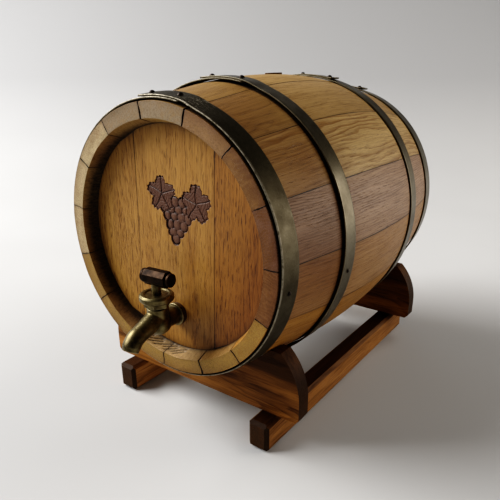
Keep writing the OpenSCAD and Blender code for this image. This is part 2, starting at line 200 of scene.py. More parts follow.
# ---- shader helpers ----
class Shader:
    """A procedural material under construction."""

    def __init__(self, name):
        self.material = bpy.data.materials.new(name)
        self.material.use_nodes = True
        self.tree = self.material.node_tree
        self.tree.nodes.clear()

    def feed(self, socket, value):
        if isinstance(value, bpy.types.NodeSocket):
            self.tree.links.new(value, socket)
        elif value is not None:
            socket.default_value = value

    def add(self, kind, settings=None, inputs=None):
        node = self.tree.nodes.new(kind)
        for key, value in (settings or {}).items():
            setattr(node, key, value)
        for key, value in (inputs or {}).items():
            self.feed(node.inputs[key], value)
        return node

    def math(self, operation, a, b=None, c=None, clamp=False):
        inputs = {0: a}
        if b is not None:
            inputs[1] = b
        if c is not None:
            inputs[2] = c
        return self.add("ShaderNodeMath", {"operation": operation, "use_clamp": clamp}, inputs).outputs[0]

    def stretch(self, vector, scale, offset=(0, 0, 0), turn=(0, 0, 0)):
        inputs = {"Vector": vector, "Location": offset, "Rotation": turn, "Scale": scale}
        return self.add("ShaderNodeMapping", None, inputs).outputs[0]

    def noise(self, vector, scale=1.0, detail=3.0, roughness=0.55, distortion=0.0):
        inputs = {"Vector": vector, "Scale": scale, "Detail": detail, "Roughness": roughness,
                  "Distortion": distortion}
        return self.add("ShaderNodeTexNoise", None, inputs).outputs[0]

    def ramp(self, value, *stops):
        """Remaps a value through (place, grey or colour) stops."""
        node = self.add("ShaderNodeValToRGB", None, {"Fac": value})
        band = node.color_ramp
        while len(band.elements) < len(stops):
            band.elements.new(0.5)
        for element, (place, shade) in zip(band.elements, stops):
            element.position = place
            colour = shade if isinstance(shade, tuple) else (shade,) * 3
            element.color = (*colour, 1)
        return node.outputs[0]

    def fade(self, value, low, high):
        """0 below low, 1 above high, and a straight rise between them. low may be the greater."""
        settings = {"clamp": True}
        inputs = {"Value": value, "From Min": low, "From Max": high, "To Min": 0.0, "To Max": 1.0}
        return self.add("ShaderNodeMapRange", settings, inputs).outputs[0]

    def mix(self, factor, a, b, blend="MIX"):
        settings = {"data_type": "RGBA", "blend_type": blend}
        node = self.add("ShaderNodeMix", settings)
        self.feed(node.inputs[0], factor)
        self.feed(node.inputs[6], (*a, 1) if isinstance(a, tuple) else a)
        self.feed(node.inputs[7], (*b, 1) if isinstance(b, tuple) else b)
        return node.outputs[2]

    def attribute(self, name, output="Fac"):
        return self.add("ShaderNodeAttribute", {"attribute_name": name}).outputs[output]

    def bump(self, height, distance, strength=1.0, normal=None):
        inputs = {"Height": height, "Distance": distance, "Strength": strength, "Normal": normal}
        return self.add("ShaderNodeBump", None, inputs).outputs[0]

    def finish(self, colour, roughness, metallic=0.0, normal=None, specular=0.5, tangent=None, stretched=0.0):
        inputs = {"Base Color": colour, "Roughness": roughness, "Metallic": metallic, "Normal": normal,
                  "Specular IOR Level": specular, "Tangent": tangent, "Anisotropic": stretched}
        surface = self.add("ShaderNodeBsdfPrincipled", None, inputs)
        output = self.add("ShaderNodeOutputMaterial")
        self.tree.links.new(surface.outputs[0], output.inputs[0])
        return self.material


def object_millimetres(shader, along):
    """Object coordinates in millimetres, turned so that Y runs along the wood's grain."""
    place = shader.add("ShaderNodeTexCoord").outputs["Object"]
    if along == "X":
        turned = shader.add("ShaderNodeVectorRotate", {"rotation_type": "Z_AXIS"},
                            {"Vector": place, "Angle": math.pi / 2}).outputs[0]
    else:
        turned = place
    return shader.stretch(turned, (1000, 1000, 1000))


def wood(name, light, dark, pore, along=None, ring=2.8, contrast=0.6, streaks=0.35, pores=0.5,
         cloud=0.3, roughness=0.5, end_tone=None, end_from=0.8, offset=(0, 0, 0), dash_from=0.56,
         specular=0.35, top_shade=0.0, shade_above=None):
    """Varnished wood. along is None for pieces that carry their own grain place, else the grain's axis.

    Of the last two arguments, the first is how much painted shade darkens faces that look up, and
    the second two heights in millimetres between which painted shade turns the wood dark upwards.
    """
    s = Shader(name)
    own = s.attribute("grain", "Vector") if along is None else object_millimetres(s, along)
    place = s.stretch(own, (1, 1, 1), offset)
    # Growth rings: distance from the pith, warped slowly along the board
    warp = s.noise(s.stretch(place, (0.03, 0.006, 0.03)), 1.0, 2.0, 0.5)
    wave = s.noise(s.stretch(place, (0.12, 0.022, 0.12)), 1.0, 2.0, 0.5)
    flat = s.stretch(place, (1, 0, 1))
    from_pith = s.add("ShaderNodeVectorMath", {"operation": "LENGTH"}, {0: flat}).outputs["Value"]
    ring_place = s.math("MULTIPLY_ADD", warp, 9.0, s.math("DIVIDE", from_pith, ring))
    ring_place = s.math("MULTIPLY_ADD", wave, 2.2, ring_place)
    ring_phase = s.math("FRACT", ring_place)
    ring_dark = s.ramp(ring_phase, (0.0, 0.1), (0.1, 1.0), (0.3, 0.7), (0.6, 0.15), (1.0, 0.1))
    board = s.noise(s.stretch(place, (0.07, 0.007, 0.07)), 1.0, 3.0, 0.55)
    strong = s.math("MULTIPLY", ring_dark, s.fade(board, 0.34, 0.62))
    fine = s.noise(s.stretch(place, (2.2, 0.035, 2.2)), 1.0, 3.0, 0.6)
    fibre = s.noise(s.stretch(place, (5.0, 0.14, 5.0)), 1.0, 2.0, 0.6)
    streak = s.noise(s.stretch(place, (0.7, 0.03, 0.7)), 1.0, 3.0, 0.6)
    colour = s.mix(s.math("MULTIPLY", s.fade(board, 0.36, 0.66), cloud), light, dark)
    colour = s.mix(s.math("MULTIPLY", strong, contrast), colour, dark)
    colour = s.mix(s.math("MULTIPLY", s.fade(streak, 0.52, 0.7), streaks), colour, pore)
    colour = s.mix(s.math("MULTIPLY", s.fade(fine, 0.45, 0.75), 0.35), colour, pore)
    colour = s.mix(s.math("MULTIPLY", s.fade(fine, 0.45, 0.25), 0.22), colour, tuple(1.35 * c for c in light))
    # Short dark pores, thickest where a ring begins
    dash = s.noise(s.stretch(place, (1.5, 0.16, 1.5)), 1.0, 2.0, 0.45)
    crowd = s.ramp(ring_phase, (0.0, 0.5), (0.12, 1.0), (0.4, 0.6), (1.0, 0.2))
    pore_mask = s.math("MULTIPLY", s.fade(dash, dash_from, dash_from + 0.09), crowd)
    colour = s.mix(s.math("MULTIPLY", pore_mask, pores), colour, pore)
    # End grain is sawn rough and has its own tone
    if end_tone:
        normal = s.add("ShaderNodeNewGeometry").outputs["Normal"]
        axis = (1, 0, 0) if along == "X" else (0, 1, 0)
        facing = s.add("ShaderNodeVectorMath", {"operation": "DOT_PRODUCT"}, {0: normal, 1: axis})
        end_face = s.fade(s.math("ABSOLUTE", facing.outputs["Value"]), end_from, end_from + 0.15)
        speck = s.noise(s.stretch(place, (1.0, 1.0, 1.0)), 1.0, 5.0, 0.75)
        patch = s.noise(s.stretch(place, (0.16, 0.3, 0.16)), 1.0, 3.0, 0.6)
        sawn = s.mix(s.math("MULTIPLY", s.fade(speck, 0.46, 0.66), 0.6), end_tone, pore)
        sawn = s.mix(s.math("MULTIPLY", strong, 0.4), sawn, dark)
        sawn = s.mix(s.math("MULTIPLY", s.fade(patch, 0.5, 0.7), 0.4), sawn, dark)
        colour = s.mix(end_face, colour, sawn)
    # Painted shade on faces that look up, as on the rail tops under the cask
    if top_shade:
        up = s.add("ShaderNodeSeparateXYZ", None, {0: s.add("ShaderNodeNewGeometry").outputs["Normal"]}).outputs["Z"]
        colour = s.mix(s.math("MULTIPLY", s.fade(up, 0.5, 0.85), top_shade), colour, pore)
    # Painted shade: the wood turns darker upwards between two heights, as on the saddles under the cask
    if shade_above:
        height = s.add("ShaderNodeSeparateXYZ", None, {0: place}).outputs["Z"]
        height = s.math("MULTIPLY_ADD", s.math("SUBTRACT", board, 0.5), 40.0, height)
        barrel_shadow = s.fade(height, shade_above[0] + offset[2], shade_above[1] + offset[2])
        colour = s.mix(s.math("MULTIPLY", barrel_shadow, 0.75), colour, pore)
    # Dark lines in the seams and painted shade beside them, then the dirt and painted shade that each piece carries
    # beside metal and in the rims
    if along is None:
        seam = s.math("MULTIPLY_ADD", s.math("SUBTRACT", streak, 0.5), 0.9, s.attribute("seam"))
        line = s.math("MULTIPLY", s.fade(seam, 0.42, 0.08), 0.95)
        # Painted shade in a soft band along both sides of each seam
        shade = s.math("MULTIPLY", s.fade(seam, 2.6, 0.2), 0.25)
        dirt_and_shade_mask = s.math("MULTIPLY", s.attribute("dirt_and_shade"), s.math("MULTIPLY_ADD", streak, 0.5, 0.75), clamp=True)
        # Painted shade: darker towards the front of the staves and the lower right of the heads
        colour = s.mix(s.attribute("painted_shade"), colour, SHADE_TINT, "MULTIPLY")
        colour = s.mix(shade, colour, pore)
        colour = s.mix(s.math("MAXIMUM", line, dirt_and_shade_mask), colour, GRIME_AND_SHADE)
    height = s.math("MULTIPLY_ADD", pore_mask, -0.9, s.math("MULTIPLY", fibre, 0.6))
    height = s.math("MULTIPLY_ADD", fine, 0.5, height)
    bump = s.bump(height, 0.16 * MM, 0.8)
    rough = s.math("MULTIPLY_ADD", streak, 0.25, roughness - 0.12, clamp=True)
    return s.finish(colour, rough, normal=bump, specular=specular)


# Near black of the dark seams and dirt, also used for painted shade
GRIME_AND_SHADE = (0.012, 0.008, 0.005)
# Tint that painted shade multiplies into the wood
SHADE_TINT = (0.44, 0.30, 0.21)


def aged_metal(name, tone, worn, oxide, roughness, strip=False):
    """Dull metal with dark oxide and brightly rubbed spots. strip is for a hoop, whose brushing runs round."""
    s = Shader(name)
    place = s.add("ShaderNodeTexCoord").outputs["Object"]
    cloud = s.noise(s.stretch(place, (45, 45, 45)), 1.0, 6.0, 0.62)
    spots = s.noise(s.stretch(place, (420, 420, 420)), 1.0, 4.0, 0.6)
    grit = s.noise(s.stretch(place, (1500, 1500, 1500)), 1.0, 2.0, 0.6)
    colour = s.mix(s.fade(cloud, 0.38, 0.66), tone, oxide)
    colour = s.mix(s.math("MULTIPLY", s.fade(spots, 0.52, 0.72), 0.5), colour, oxide)
    height = s.math("MULTIPLY_ADD", grit, 0.4, s.math("MULTIPLY", spots, 0.7))
    rough = s.math("MULTIPLY_ADD", cloud, 0.3, roughness - 0.15, clamp=True)
    tangent, stretched = None, 0.0
    if strip:
        # Scratches across and around the strip, thick where it has been knocked
        scuff = s.attribute("scuff")
        scratch = s.noise(s.stretch(place, (260, 900, 700)), 1.0, 3.0, 0.6, 1.5)
        fleck = s.math("MULTIPLY", s.fade(scratch, 0.57, 0.62), scuff)
        rub = s.math("MULTIPLY", s.attribute("edge"), s.fade(spots, 0.3, 0.55))
        colour = s.mix(s.math("MAXIMUM", rub, fleck), colour, worn)
        rough = s.math("MULTIPLY_ADD", fleck, 0.25, rough, clamp=True)
        tangent = s.add("ShaderNodeTangent", {"direction_type": "RADIAL", "axis": "Y"}).outputs[0]
        stretched = 0.3
    return s.finish(colour, rough, metallic=0.88, normal=s.bump(height, 0.05 * MM, 0.5), tangent=tangent,
                    stretched=stretched)


# ---- staves ----
# Opening of each joint at the front rim, counted from the bung stave's right joint, in millimetres
FRONT_CRACKS = {0: 0.9, 1: 1.0, 3: 0.2, 5: 0.2, 8: 0.3, 9: 0.7, 10: 0.5, 12: 0.3, 13: 0.2, 14: 0.4}
SEAM_GAP = 0.08
# How much painted shade darkens some staves towards the front; the others are darkened by 0.48
FRONT_SHADE = {0: 0.3, 10: 0.1, 13: 0.65, 14: 0.36}
CRACK_REACH = 9 * MM
hoop_nodes = ["front_head_hoop", "front_quarter_hoop", "rear_quarter_hoop", "rear_head_hoop"]


def joint_angle(joint, y, r):
    """Angle of a joint's middle line. It wanders a little near the front rim."""
    depth = y - (-half_l)
    wander = 0.35 * MM * ripple(r / MM * 0.9, depth / MM * 0.5, 60 + joint) * np.exp(-depth / CRACK_REACH)
    return top_joint + joint * stave_turn + wander / chime_r


def joint_opening(joint, y, r):
    """Half the gap of a joint, as an angle."""
    depth = y + half_l
    crack = FRONT_CRACKS.get(joint % len(stave_names), 0.2) * MM
    uneven = 1 + 0.35 * ripple(r / MM * 1.3, depth / MM, 90 + joint)
    gap = SEAM_GAP * MM + crack * uneven * np.exp(-((depth / CRACK_REACH) ** 2))
    return np.maximum(gap, 0.05 * MM) / 2 / r


def hoop_shade(y):
    """How much darker the wood is beside the hoops: full under them and fading within a millimetre or two."""
    dirt_and_shade_mask = np.zeros_like(y)
    for name in hoop_nodes:
        low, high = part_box(name)
        away = np.maximum(low.y - y, y - high.y)
        dirt_and_shade_mask = np.maximum(dirt_and_shade_mask, np.clip(1 - (away - 0.2 * MM) / (1.3 * MM), 0, 1))
    return dirt_and_shade_mask


def stave_rows(notched):
    """Places along the cask where a stave's skin has points: close at the ends, groove and hoops."""
    step = 0.02 * MM
    end = [0, 0.4 * MM, 1 * MM, 2 * MM, 3.5 * MM, 5 * MM, 7 * MM, 9 * MM, head_recess - 0.5 * MM, head_recess,
           head_recess + step, head_recess + RIM_T, head_recess + RIM_T + step]
    rows = [-half_l + d for d in end] + [half_l - d for d in end]
    rows += list(np.arange(-half_l + 22 * MM, half_l - 20 * MM, 5 * MM))
    for name in hoop_nodes:
        low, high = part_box(name)
        for edge in (low.y, high.y):
            rows += [edge - cask_y + d * MM for d in (-1.5, -0.8, -0.2, 0.2, 0.8, 1.5)]
    if notched:
        rows += list(np.arange(-half_l + 1.3 * MM, -half_l + 12 * MM, 0.35 * MM))
    rows = np.array(sorted(rows))
    keep = np.concatenate([[True], np.diff(rows) > 0.015 * MM])
    return rows[keep]


# Straight knife marks inside the lower rim: start angle, and first and last depth in millimetres
KNIFE_MARKS = ((-117, 2, 9), (-113.5, 3, 11), (-110.2, 2, 9), (-106.5, 2, 11), (-103.2, 4, 11), (-99.6, 2, 9),
               (-96.3, 3, 11), (-92.9, 2, 8))


def build_stave(index):
    notched = index in (7, 8)
    rows = stave_rows(notched)
    across_n, deep_n = (72 if notched else 16), 6
    lattice, quads = box_surface(across_n, deep_n, len(rows) - 1)
    u = lattice[:, 0] / across_n
    v = lattice[:, 1] / deep_n
    y = rows[lattice[:, 2]]
    name = stave_names[index]
    draw = np.random.RandomState(300 + index)
    sunk = draw.uniform(0, 0.18) * MM
    inner, outer = inner_r(y), wood_r(y)
    r = inner + (outer - inner) * v
    left, right = joint_angle(index, y, r), joint_angle(index + 1, y, r)
    left = left + joint_opening(index, y, r)
    right = right - joint_opening(index + 1, y, r)
    angle = left + (right - left) * u
    # Hand-worked surface: sunk a hair, slightly flat across, wavy along
    outside = v * v
    worn = sunk + 0.1 * MM * (2 * u - 1) ** 2 + 0.06 * MM * (1 + ripple(u * 9, y / MM * 0.11, 500 + index))
    r = r - outside * worn
    # The end faces aren't quite level with each other
    front_end, rear_end = lattice[:, 2] == 0, lattice[:, 2] == len(rows) - 1
    saw = 0.12 * MM * (1 + ripple(u * 14, v * 9, 700 + index)) + draw.uniform(0, 0.3) * MM
    y = y + np.where(front_end, saw, 0) - np.where(rear_end, saw, 0)
    # Knife marks on the bevel inside the lower rim
    depth = y + half_l
    turned = (np.degrees(angle) + 180) % 360 - 180
    cut = np.zeros(len(y))
    for start, first, last in KNIFE_MARKS:
        across_mark = np.abs(turned - start - 1.2 * depth / MM)
        along_mark = np.minimum(depth / MM - first, last - depth / MM)
        cut = np.maximum(cut, np.clip(1.7 - across_mark / 0.6, 0, 1) * np.clip(along_mark, 0, 1))
    cut = cut * (v < 0.01) * notched
    r = r + 0.9 * MM * cut
    points = np.stack([r * np.cos(angle), cask_y + y, axis_z + r * np.sin(angle)], 1)
    # Grain coordinates in millimetres: across, along, out of the surface
    width = (right - left) * r
    tilt = 0.3
    aside, below = CUTS.get(index, (draw.uniform(-25, 25), draw.uniform(20, 50)))
    pith = np.array([aside, draw.uniform(0, 4000), below])
    across, out = (u - 0.5) * width / MM, (r - outer) / MM
    grain = np.stack([across * math.cos(tilt) - out * math.sin(tilt) + pith[0], y / MM + pith[1],
                      across * math.sin(tilt) + out * math.cos(tilt) + pith[2]], 1)
    seam = np.minimum(u, 1 - u) * width / MM
    # Painted shade inside the rim: a little all round, heavy on the left wall that faces away from the light, and
    # deepest by the head
    shaded = 0.5 - 0.5 * np.cos(np.radians(turned))
    near_head = depth / head_recess
    inside_shade = np.clip(0.1 + 1.7 * near_head * shaded ** 3 + 0.7 * near_head ** 6, 0, 0.92)
    inside_shade = inside_shade * (v < 0.1) * (depth < head_recess + MM)
    # Painted shade inside the rim, the darkening beside the hoops and the dark knife marks, together
    dirt_and_shade = np.maximum.reduce([0.9 * hoop_shade(cask_y + y) * (v > 0.9), inside_shade, 0.95 * cut])
    # Painted shade: the outside of the wood is made darker towards the front
    front_shade = 0.06 + FRONT_SHADE.get(index, 0.48) * np.clip((-y / half_l - 0.3) / 0.3, 0, 1)
    painted_shade = outside * front_shade * (1 + 0.4 * ripple(u * 5, y / MM * 0.035, 900 + index))
    piece = add_mesh(name + "_wood", points, quads, "cask", [name],
                     {"grain": grain, "dirt_and_shade": dirt_and_shade, "seam": seam, "painted_shade": painted_shade})
    round_edges(piece, 0.2 * MM)
    return piece


# Light, dark and pore colours of the oak
PALE = ((0.43, 0.27, 0.095), (0.28, 0.155, 0.045), (0.11, 0.05, 0.015))
TAN = ((0.42, 0.265, 0.105), (0.27, 0.15, 0.05), (0.10, 0.048, 0.017))
STRAW = ((0.62, 0.43, 0.19), (0.28, 0.14, 0.042), (0.11, 0.046, 0.015))
ORANGE = ((0.42, 0.245, 0.085), (0.27, 0.135, 0.042), (0.09, 0.042, 0.014))
RED = ((0.42, 0.235, 0.095), (0.27, 0.125, 0.045), (0.09, 0.036, 0.013))
BROWN = ((0.36, 0.205, 0.080), (0.22, 0.11, 0.036), (0.08, 0.036, 0.013))
MAUVE = ((0.42, 0.265, 0.155), (0.19, 0.098, 0.062), (0.08, 0.038, 0.025))
AMBER = ((0.44, 0.215, 0.045), (0.28, 0.12, 0.022), (0.09, 0.035, 0.010))
# Sawn ends of the staves. The ends round the right side are darker, partly their own tone and partly painted shade
# away from the light
PALE_END = (0.48, 0.37, 0.20)
YELLOW_END = (0.31, 0.18, 0.04)
BROWN_END = (0.16, 0.073, 0.02)
DARK_END = (0.14, 0.056, 0.013)
OCHRE_END = (0.25, 0.135, 0.055)
MAUVE_END = (0.27, 0.20, 0.12)
# Tone, sawn end, growth ring and depth of the ring lines of each stave, from the bung stave round to the left
STAVE_LOOKS = [
    (PALE, MAUVE_END, 2.8, 0.6), (TAN, MAUVE_END, 2.4, 0.7), (BROWN, PALE_END, 3.0, 0.7),
    (TAN, PALE_END, 2.6, 0.7), (ORANGE, PALE_END, 2.2, 0.7), (TAN, YELLOW_END, 3.0, 0.7),
    (BROWN, YELLOW_END, 2.6, 0.7), (TAN, YELLOW_END, 2.2, 0.7), (TAN, YELLOW_END, 2.8, 0.7),
    (ORANGE, YELLOW_END, 2.4, 0.7), (AMBER, YELLOW_END, 2.6, 0.7), (RED, DARK_END, 3.2, 0.6),
    (MAUVE, DARK_END, 2.0, 0.95), (STRAW, BROWN_END, 4.2, 1.0), (TAN, OCHRE_END, 3.0, 0.6)]
# Where the pith lay for some staves, in millimetres to the side and below: far aside gives straight lines
CUTS = {0: (14, 40), 11: (30, 24), 12: (60, 12), 13: (44, 16), 14: (10, 34)}


def build_staves():
    for index, (tone, end_tone, ring, contrast) in enumerate(STAVE_LOOKS):
        piece = build_stave(index)
        piece.data.materials.append(
            wood(f"stave_oak_{index:02d}", *tone, ring=ring, contrast=contrast, streaks=0.4, pores=0.45,
                 roughness=0.5, end_tone=end_tone))


# ---- heads ----
BOARD_LEAN = math.radians(2.3)
LEFT_JOINT, RIGHT_JOINT = -35.5 * MM, 37 * MM
CARVING_DEPTH = 1.15
BUNCH_ROWS = [4, 5, 4, 3, 2, 1]
GRAPE_R = 3.9
GRAPE_PITCH = (6.4, 5.4)
BUNCH_TIP = (2, 3)
BUNCH_SLANT = 0.15
LEAF_R = 11.6
LEAVES = [(-9.5, 34.5), (22.5, 31)]


def grape_places():
    """Middles of the grapes in head coordinates, in millimetres."""
    places = []
    for row, count in enumerate(BUNCH_ROWS):
        up = len(BUNCH_ROWS) - 1 - row
        for k in range(count):
            x = BUNCH_TIP[0] + BUNCH_SLANT * GRAPE_PITCH[1] * up + (k - (count - 1) / 2) * GRAPE_PITCH[0]
            places.append((x, BUNCH_TIP[1] + GRAPE_PITCH[1] * up))
    return places


def carving(x, y):
    """Height and burn of the carved grapes at head coordinates in millimetres."""
    height = np.zeros_like(x)
    burn = np.zeros_like(x)
    grapes = np.full_like(x, -1e3)
    near = np.full_like(x, 1e3)
    x = x + 0.45 * ripple(x * 0.7, y * 0.7, 21)
    y = y + 0.45 * ripple(x * 0.7, y * 0.7, 22)
    draw = np.random.RandomState(9)
    for gx, gy in grape_places():
        d = np.hypot(x - gx, y - gy)
        size = GRAPE_R * draw.uniform(0.86, 1.06)
        grapes = np.maximum(grapes, np.sqrt(np.clip(1 - (d / (size - 0.35)) ** 2, 0, 1)))
        near = np.minimum(near, d - GRAPE_R)
    inside = near < 0
    height = np.where(inside, -CARVING_DEPTH + (CARVING_DEPTH - 0.1) * grapes, height)
    burn = np.where(inside, 1 - 0.62 * grapes, burn)
    for lx, ly in LEAVES:
        dx, dy = x - lx, y - ly
        d = np.hypot(dx, dy)
        a = np.arctan2(dy, dx) - math.pi / 2
        edge = LEAF_R * (1 + 0.15 * np.cos(5 * a) - 0.05 * np.cos(10 * a) + 0.04 * np.cos(25 * a))
        inside = d < edge
        rim = np.clip(1 - (edge - d) / 1.1, 0, 1)
        vein = np.clip(1 - np.abs(((a * 5 / (2 * math.pi) + 0.5) % 1) - 0.5) * 2 * math.pi / 5 * d / 0.55, 0, 1)
        side = np.clip(1 - np.abs(np.sin(d * 1.5 + 2.2 * np.abs(np.sin(2.5 * a)))) / 0.35, 0, 1) * 0.55
        sunk = np.maximum.reduce([rim, vein, side * (d > 2)])
        height = np.where(inside, -0.35 - 0.75 * sunk, height)
        burn = np.where(inside, 0.42 + 0.58 * sunk, burn)
        near = np.minimum(near, d - edge)
    halo = np.clip(1 - near / 0.7, 0, 1) * (near > 0)
    return height, np.maximum(burn, 0.45 * halo)


def board_rows(carved):
    """Shares of a board's height where its face has points: close together where it is carved."""
    if not carved:
        return np.linspace(0, 1, 41)
    return np.unique(np.concatenate([np.linspace(0, 0.46, 24), np.linspace(0.46, 0.84, 185),
                                     np.linspace(0.84, 1, 9)]))


def build_board(name, rear, left, right, carved=False):
    rows = board_rows(carved)
    across_n = 205 if carved else 24
    lattice, quads = box_surface(across_n, len(rows) - 1, 2)
    u, v, w = lattice[:, 0] / across_n, rows[lattice[:, 1]], lattice[:, 2] / 2
    gap = 0.05 * MM
    limit = head_r * 0.999
    left, right = max(left + gap, -limit), min(right - gap, limit)
    # Points crowd towards the rim on the two outer boards
    if left == -limit:
        u = 1 - np.sqrt(1 - u ** 2)
    if right == limit:
        u = np.sqrt(1 - (1 - u) ** 2)
    bx = left + (right - left) * u
    by = np.sqrt(head_r ** 2 - bx ** 2) * (2 * v - 1)
    r = np.hypot(bx, by)
    thick = np.minimum(head_t, RIM_T - 0.1 * MM + np.maximum(0, throat_r - 1.5 * MM - r))
    x = bx * math.cos(BOARD_LEAN) + by * math.sin(BOARD_LEAN)
    z = by * math.cos(BOARD_LEAN) - bx * math.sin(BOARD_LEAN)
    out = -thick * (1 - w)
    burn = np.zeros_like(x)
    seed = sum(map(ord, name))
    draw = np.random.RandomState(seed)
    face = w == 1
    out = out - face * (0.05 * MM * (1 + ripple(bx / MM * 0.08, by / MM * 0.06, seed)) + draw.uniform(0, 0.1) * MM)
    if carved:
        height, burn = carving(x / MM, z / MM)
        out = out + face * height * MM
        burn = burn * face
    seam = np.minimum.reduce([bx - left + (left == -limit), right - bx + (right == limit), throat_r - r]) * 2.2 / MM
    # Painted shade in the corner of the recess, fading out within 6 mm of the rim
    dirt_and_shade = 0.4 * np.clip(1 - (throat_r - r) / (6 * MM), 0, 1) ** 1.5
    # Painted shade: the lower right of the front, away from the light, is made darker than the rest
    painted_shade = np.clip(0.25 + (0.75 * x - 0.45 * z) / throat_r, 0, 1) ** 1.3 * (0.85 + 0.15 * ripple(bx / MM * 0.1, by / MM * 0.03, 5))
    pith = np.array([draw.uniform(-15, 15), draw.uniform(0, 4000), draw.uniform(40, 90)])
    grain = np.stack([bx / MM + pith[0], by / MM + pith[1], out / MM + pith[2]], 1)
    if rear:
        points = np.stack([-x, head_rear_y + out, axis_z + z], 1)
    else:
        points = np.stack([x, head_front_y - out, axis_z + z], 1)
    piece = add_mesh(name + "_wood", points, quads, "cask", [name],
                     {"grain": grain, "dirt_and_shade": dirt_and_shade, "seam": seam, "burn": burn, "painted_shade": 0.8 * painted_shade})
    return piece


def cut_tap_hole(board):
    """Bores the tap's hole through the carved board, a hair wider than the shank."""
    tap_axis = joint_place("handle_turn")
    bpy.ops.mesh.primitive_cylinder_add(vertices=64, radius=6.1 * MM, depth=3 * head_t)
    cutter = bpy.context.object
    cutter.rotation_euler = (math.pi / 2, 0, 0)
    cutter.location = (tap_axis.x, head_front_y + head_t / 2, tap_axis.z)
    bpy.context.view_layer.update()
    hole = board.modifiers.new("hole", "BOOLEAN")
    hole.object = cutter
    hole.solver = "EXACT"
    apply_modifiers(board)
    bpy.data.objects.remove(cutter)


def apply_modifiers(piece):
    """Makes a piece's modifiers part of its mesh."""
    graph = bpy.context.evaluated_depsgraph_get()
    mesh = bpy.data.meshes.new_from_object(piece.evaluated_get(graph), depsgraph=graph)
    piece.modifiers.clear()
    piece.data = mesh


def joint_place(name):
    return Vector(next(j["pos_m"] for j in frame["joints"] if j["name"] == name))


def carved_oak(name, light, dark, pore):
    """Head oak whose carving is burnt darker in its grooves."""
    material = wood(name, light, dark, pore, ring=2.3, contrast=0.45, streaks=0.3, pores=0.7, dash_from=0.53)
    tree = material.node_tree
    surface = next(n for n in tree.nodes if n.type == "BSDF_PRINCIPLED")
    shader = Shader.__new__(Shader)
    shader.material, shader.tree = material, tree
    colour = surface.inputs["Base Color"].links[0].from_socket
    burn = shader.attribute("burn")
    scorched = shader.mix(shader.fade(burn, 0.55, 1.0), (0.110, 0.050, 0.030), (0.014, 0.007, 0.006))
    stained = shader.mix(shader.fade(burn, 0.1, 0.42), colour, scorched)
    shader.tree.links.new(stained, surface.inputs["Base Color"])
    return material


HEAD_OAK = ((0.43, 0.225, 0.055), (0.29, 0.125, 0.025), (0.10, 0.038, 0.009))
HEAD_OAK_DARK = ((0.38, 0.178, 0.037), (0.25, 0.098, 0.019), (0.08, 0.028, 0.007))


def build_heads():
    edge = 0.2
    spans = {"left": (-edge, LEFT_JOINT), "middle": (LEFT_JOINT, RIGHT_JOINT), "right": (RIGHT_JOINT, edge)}
    for end in ("front", "rear"):
        for part, (left, right) in spans.items():
            name = f"{end}_head_{part}_board"
            carved = name == "front_head_middle_board"
            piece = build_board(name, end == "rear", left, right, carved)
            if carved:
                piece.data.materials.append(carved_oak("head_oak_carved", *HEAD_OAK))
                cut_tap_hole(piece)
            else:
                tone = HEAD_OAK_DARK if part == "right" else HEAD_OAK
                piece.data.materials.append(wood(f"head_oak_{end}_{part}", *tone, ring=2.3, contrast=0.6,
                                                 streaks=0.4, pores=0.9, dash_from=0.52))
                round_edges(piece, 0.15 * MM)


# ---- hoops ----
LAP_HALF_TURN = math.radians(10)
RAMP_TURN = math.radians(9)
LIFTED_TURN = math.radians(3.5)
# Middle of each hoop's lap in degrees, and which way round the strip is bent
hoop_laps = {"front_head_hoop": (88, 1), "front_quarter_hoop": (88, 1),
             "rear_quarter_hoop": (85, -1), "rear_head_hoop": (85, -1)}
SCUFF_ANGLE = math.radians(74)


def strip_section(width, thick, corner):
    """Points around a strip's section: (place across its width, height over its inner face, edge rub)."""
    points = []
    for cx, cz, start in ((1, 0, -90), (1, 1, 0), (0, 1, 90), (0, 0, 180)):
        mx = corner + cx * (width - 2 * corner)
        mz = corner + cz * (thick - 2 * corner)
        for k in range(4):
            a = math.radians(start + 30 * k)
            points.append((mx + corner * math.cos(a), mz + corner * math.sin(a), float(cz == 1 and cx == 0)))
        if cx == 1 and cz == 1:
            for share in (0.92, 0.75, 0.5, 0.25, 0.08):
                points.append((corner + share * (width - 2 * corner), thick, 0.0))
    return np.array(points)


